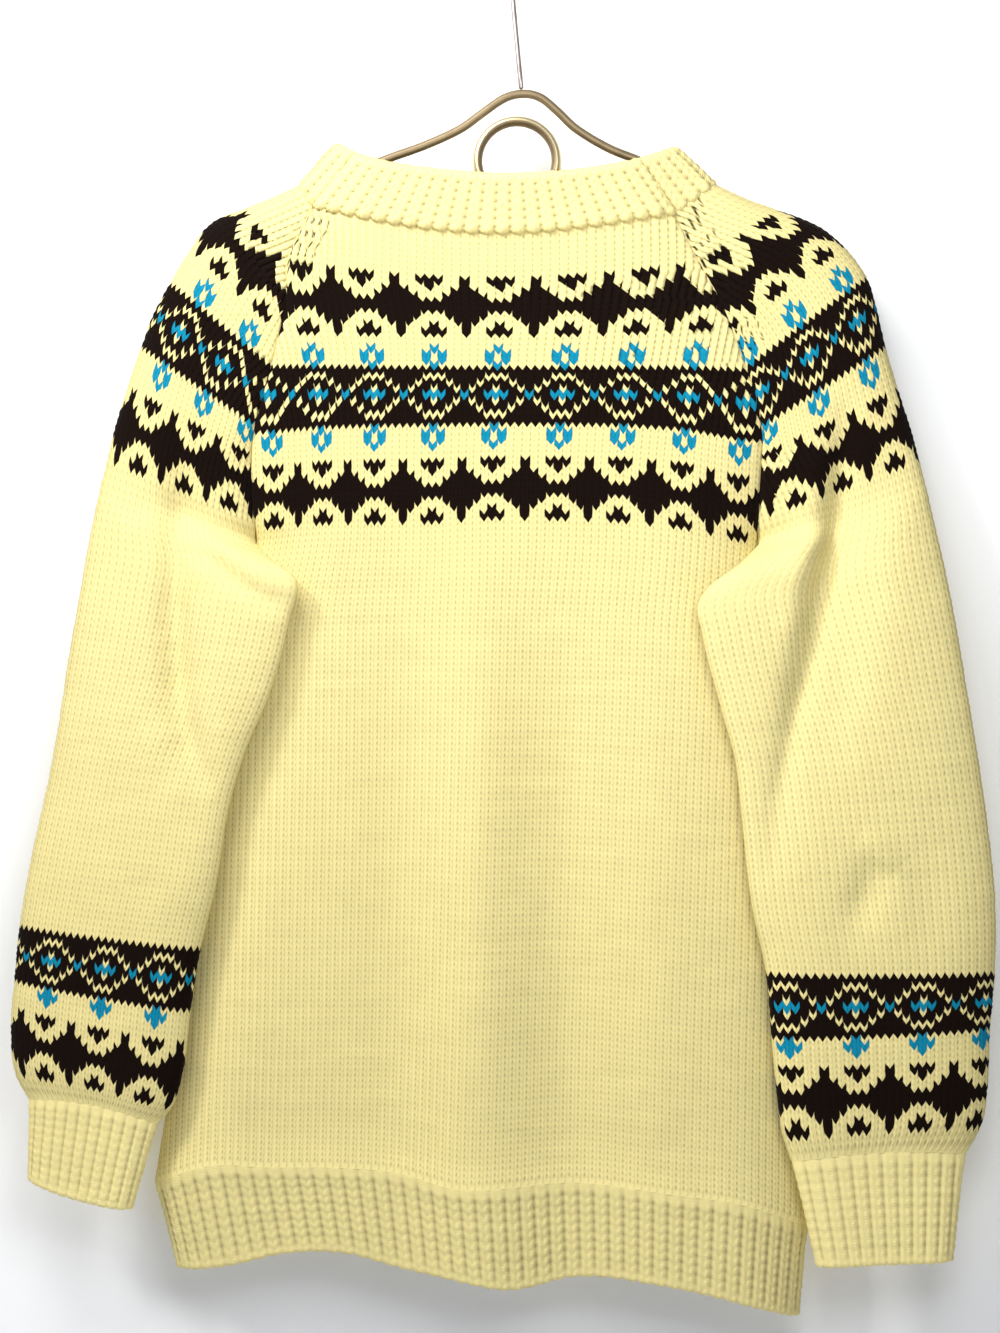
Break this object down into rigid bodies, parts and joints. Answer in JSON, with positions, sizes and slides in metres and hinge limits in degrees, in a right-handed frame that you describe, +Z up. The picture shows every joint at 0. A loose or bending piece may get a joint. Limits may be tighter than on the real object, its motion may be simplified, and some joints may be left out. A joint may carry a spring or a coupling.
{
  "type": "fair isle jumper",
  "caption": "Hand-knitted raglan jumper with a round ribbed neck, patterned yoke and cuff bands, hanging flat on a slim metal hanger with a ring and a wire hook.",
  "frame": {"origin": "inner top of the hanger's hook, where a rail or a wall hook bears on it", "axes": "+Z up, the jumper's front faces -Y, +X to the right of someone who looks at the front"},
  "size_m": [0.628, 0.0605, 0.9062],
  "materials": {
    "knit_yellow": "pale yellow wool in stocking stitch with brown and teal pattern bands",
    "knit_rib_yellow": "pale yellow wool in 1x1 rib",
    "hanger_bronze": "satin bronze",
    "hook_steel": "bright wire"
  },
  "bodies": {
    "root": {"front": "knit_yellow", "back": "knit_yellow", "sleeve_left": "knit_yellow", "sleeve_right": "knit_yellow", "neckband": "knit_rib_yellow", "hem_rib_front": "knit_rib_yellow", "hem_rib_back": "knit_rib_yellow", "cuff_left": "knit_rib_yellow", "cuff_right": "knit_rib_yellow", "hanger": "hanger_bronze", "hanger_ring": "hanger_bronze", "hanger_hook": "hook_steel"}
  },
  "joints": []
}
